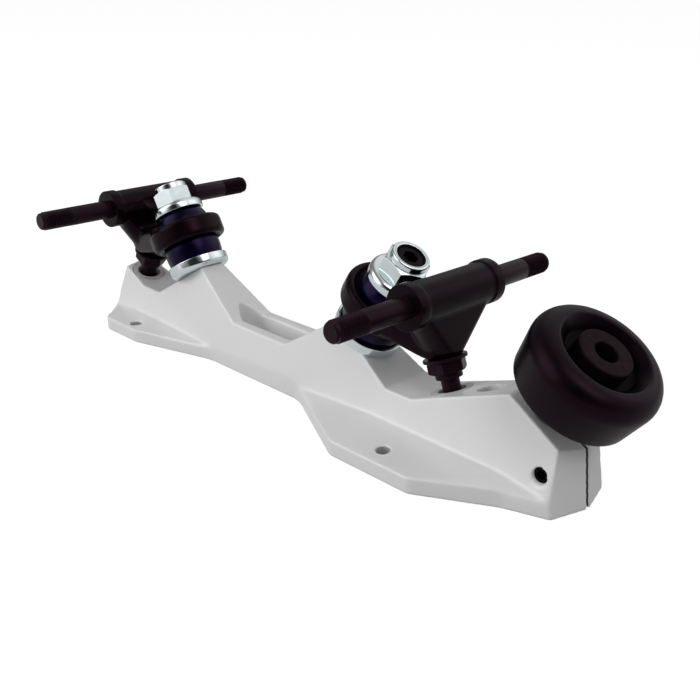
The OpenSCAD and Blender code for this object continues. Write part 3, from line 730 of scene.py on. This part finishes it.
def dress(node, material, edge_mm):
    """Gives a node its finish and breaks its edges."""
    solid = nodes[node]
    solid.data.materials.clear()
    solid.data.materials.append(material)
    weld = solid.modifiers.new("weld", "WELD")
    weld.merge_threshold = WELD * MM
    flat = solid.modifiers.new("whole_faces", "DECIMATE")
    flat.decimate_type = "DISSOLVE"
    flat.angle_limit = math.radians(FLAT_DEG)
    bevel = solid.modifiers.new("broken_edges", "BEVEL")
    bevel.limit_method = "ANGLE"
    bevel.angle_limit = math.radians(BROKEN_EDGE_DEG)
    bevel.width = edge_mm * MM
    bevel.segments = BROKEN_EDGE_STEPS
    bevel.harden_normals = True
    solid.modifiers.new("even_shade", "WEIGHTED_NORMAL").keep_sharp = True


# Finish and width of the broken edges of each piece
TRUCK_FINISHES = {
    "lower_retainer": (zinc, 0.15),
    "upper_retainer": (zinc, 0.15),
    "kingpin_nut": (zinc, 0.25),
    "nut_locking_ring": (lock_nylon, 0.3),
    # The kingpin takes the near-black nylon finish as painted shade at its end, deep in the nut
    "kingpin": (lock_nylon, 0.25),
    "pivot_pin": (black_steel, 0.3),
    "pivot_jam_nut": (black_steel, 0.2),
    "pivot_washer": (black_steel, 0.2),
    "pivot_cup": (cup_plastic, 0.2),
}
STOP_FINISHES = {
    "toe_stop_hub": (hub_plastic, 0.3),
    # The clamp screw takes the near-black nylon finish as painted shade in its hole
    "toe_clamp_screw": (lock_nylon, 0.2),
}
for truck in TRUCKS:
    for part, finish in TRUCK_FINISHES.items():
        dress(f"{truck}_{part}", *finish)
for part, finish in STOP_FINISHES.items():
    dress(part, *finish)


# Stage: pale floor, soft lamps and the camera

FLOOR_SIZE = 12.0
FLOOR_LEVEL = -0.1
FLOOR_ROUGHNESS = 0.9
FLOOR_GLOW = {"Is Camera Ray": 0.85, "Is Glossy Ray": 0.05, "Is Transmission Ray": 0.85}
FLOOR_COLOUR = (0.32, 0.32, 0.32, 1)
FLOOR_MIRRORED = (0.82, 0.82, 0.82, 1)
SHADE_LEVEL = -0.05
SHADE_COLOUR = (0.3, 0.3, 0.3)
SHADE_SEGMENTS = 24

# World and lamps. A panel has a direction, the cosines between which it fades in, and its glow
WORLD_GLOW = 0.41
ROOM_GLOW = 0.22
PANELS = (
    ((-0.45, -0.75, 0.48), 0.80, 0.99, 1.7),
    ((0.63, -0.16, 0.76), 0.88, 0.99, 2.6),
    ((0.65, 0.66, 0.38), 0.75, 0.97, 0.45),
    ((0.03, 0.66, 0.75), 0.60, 0.92, 0.55),
)
DARK_SIDE = ((0.651, -0.659, 0.376), 0.80, 0.93, 0.92)
LAMPS = (
    ("key", (-0.75, -1.15, 0.55), (0.02, 0, 0.03), 0.9, 10.9),
    ("front", (1.05, -0.35, 1.2), (0.05, 0, 0.03), 0.7, 5.0),
)

# Camera, in millimetres, degrees and pixels
CAMERA_PLACE = (288.95, -243.11, 163.05)
CAMERA_AZIMUTH = 45.32
CAMERA_ELEVATION = 22.11
CAMERA_ROLL = -0.59
FOCAL_PIXELS = 967.2
IMAGE_PIXELS = 700
SENSOR_MM = 36.0
CLIP_START = 0.01


def floor_glow(tree, path):
    """White for the camera and glass, on top of the lamps' light."""
    total = None
    for ray, glow in FLOOR_GLOW.items():
        share = tree.nodes.new("ShaderNodeMath")
        share.operation = "MULTIPLY_ADD"
        tree.links.new(path.outputs[ray], share.inputs[0])
        share.inputs[1].default_value = glow
        if total:
            tree.links.new(total, share.inputs[2])
        else:
            share.inputs[2].default_value = 0
        total = share.outputs[0]
    return total


def floor_colour(tree, path):
    """Pale in mirrors, where it keeps its shadows, and darker for the light that it throws back up."""
    mix = tree.nodes.new("ShaderNodeMix")
    mix.data_type = "RGBA"
    tree.links.new(path.outputs["Is Glossy Ray"], mix.inputs[MIX_SHARE])
    mix.inputs[MIX_FIRST].default_value = FLOOR_COLOUR
    mix.inputs[MIX_SECOND].default_value = FLOOR_MIRRORED
    return mix.outputs[MIX_RESULT]


def pale_floor():
    mesh = bmesh.new()
    bmesh.ops.create_grid(mesh, x_segments=1, y_segments=1, size=FLOOR_SIZE / 2)
    data = bpy.data.meshes.new("floor")
    mesh.to_mesh(data)
    mesh.free()
    floor = bpy.data.objects.new("floor", data)
    floor.location.z = FLOOR_LEVEL * MM
    scene.collection.objects.link(floor)
    material = bpy.data.materials.new("pale_floor")
    material.use_nodes = True
    tree = material.node_tree
    main = tree.nodes["Principled BSDF"]
    path = tree.nodes.new("ShaderNodeLightPath")
    tree.links.new(floor_colour(tree, path), main.inputs["Base Color"])
    main.inputs["Roughness"].default_value = FLOOR_ROUGHNESS
    main.inputs["Specular IOR Level"].default_value = 0.0
    main.inputs["Emission Color"].default_value = (1, 1, 1, 1)
    tree.links.new(floor_glow(tree, path), main.inputs["Emission Strength"])
    data.materials.append(material)


def shade_in_holes():
    """Dull discs on the floor under the plate's holes, which the lamps hardly reach."""
    mesh = bmesh.new()
    for x, y, radius in HOLES:
        for across in {-y, y}:
            bmesh.ops.create_circle(
                mesh, cap_ends=True, segments=SHADE_SEGMENTS, radius=radius * MM,
                matrix=Matrix.Translation((x * MM, across * MM, SHADE_LEVEL * MM)),
            )
    data = bpy.data.meshes.new("hole_shade")
    mesh.to_mesh(data)
    mesh.free()
    colours, rough = (SHADE_COLOUR, SHADE_COLOUR), (FLOOR_ROUGHNESS, FLOOR_ROUGHNESS)
    data.materials.append(surface("hole_shade", colours, rough, Specular_IOR_Level=0.0))
    discs = bpy.data.objects.new("hole_shade", data)
    scene.collection.objects.link(discs)


def lamp(name, place, target, size, power):
    """A square soft box that faces its target."""
    light = bpy.data.lights.new(name, "AREA")
    light.shape = "SQUARE"
    light.size = size
    light.energy = power
    box = bpy.data.objects.new(name, light)
    box.location = place
    box.rotation_mode = "QUATERNION"
    box.rotation_quaternion = (Vector(target) - Vector(place)).to_track_quat("-Z", "Y")
    box.visible_glossy = False
    scene.collection.objects.link(box)


def world_light(strength):
    """Even light for matt surfaces. Mirrors see soft panels round a dim room with one dark side."""
    world = bpy.data.worlds.new("studio")
    scene.world = world
    world.use_nodes = True
    tree = world.node_tree
    background = tree.nodes["Background"]
    background.inputs["Color"].default_value = (1, 1, 1, 1)
    sight = tree.nodes.new("ShaderNodeTexCoord").outputs["Generated"]

    def panel(direction, start, end, glow):
        """Light that fades in towards a direction, between two cosines."""
        towards = tree.nodes.new("ShaderNodeVectorMath")
        towards.operation = "DOT_PRODUCT"
        tree.links.new(sight, towards.inputs[0])
        towards.inputs[1].default_value = Vector(direction).normalized()
        fade = tree.nodes.new("ShaderNodeMapRange")
        fade.interpolation_type = "SMOOTHSTEP"
        for socket, number in zip(("From Min", "From Max", "To Min", "To Max"), (start, end, 0, glow)):
            fade.inputs[socket].default_value = number
        tree.links.new(towards.outputs["Value"], fade.inputs["Value"])
        return fade.outputs["Result"]

    def combined(operation, first, second):
        node = tree.nodes.new("ShaderNodeMath")
        node.operation = operation
        for socket, value in zip(node.inputs, (first, second)):
            if isinstance(value, float):
                socket.default_value = value
            else:
                tree.links.new(value, socket)
        return node.outputs[0]

    def mixed(factor, first, second):
        node = tree.nodes.new("ShaderNodeMix")
        node.data_type = "FLOAT"
        for socket, value in (("Factor", factor), ("A", first), ("B", second)):
            if isinstance(value, float):
                node.inputs[socket].default_value = value
            else:
                tree.links.new(value, node.inputs[socket])
        return node.outputs["Result"]

    room = ROOM_GLOW
    for one in PANELS:
        room = combined("ADD", panel(*one), room)
    room = combined("MULTIPLY", room, combined("SUBTRACT", 1.0, panel(*DARK_SIDE)))
    path = tree.nodes.new("ShaderNodeLightPath")
    mirrored = mixed(path.outputs["Is Glossy Ray"], strength, room)
    tree.links.new(mixed(path.outputs["Is Camera Ray"], mirrored, 1.0), background.inputs["Strength"])


def photo_camera():
    """The camera at the photograph's viewing angle."""
    azimuth, elevation, roll = map(math.radians, (CAMERA_AZIMUTH, CAMERA_ELEVATION, CAMERA_ROLL))
    look = Vector((
        -math.sin(azimuth) * math.cos(elevation),
        math.cos(azimuth) * math.cos(elevation),
        -math.sin(elevation),
    ))
    level = Vector((math.cos(azimuth), math.sin(azimuth), 0))
    down = look.cross(level)
    right = math.cos(roll) * level + math.sin(roll) * down
    up = math.sin(roll) * level - math.cos(roll) * down
    data = bpy.data.cameras.new("camera")
    data.sensor_width = SENSOR_MM
    data.lens = FOCAL_PIXELS * SENSOR_MM / IMAGE_PIXELS
    data.clip_start = CLIP_START
    camera = bpy.data.objects.new("camera", data)
    turned = Matrix((right, up, -look)).transposed().to_4x4()
    camera.matrix_world = Matrix.Translation(Vector(CAMERA_PLACE) * MM) @ turned
    scene.collection.objects.link(camera)
    scene.camera = camera


pale_floor()
shade_in_holes()
world_light(WORLD_GLOW)
for one in LAMPS:
    lamp(*one)
photo_camera()
scene.view_settings.view_transform = "Standard"


bpy.context.view_layer.update()
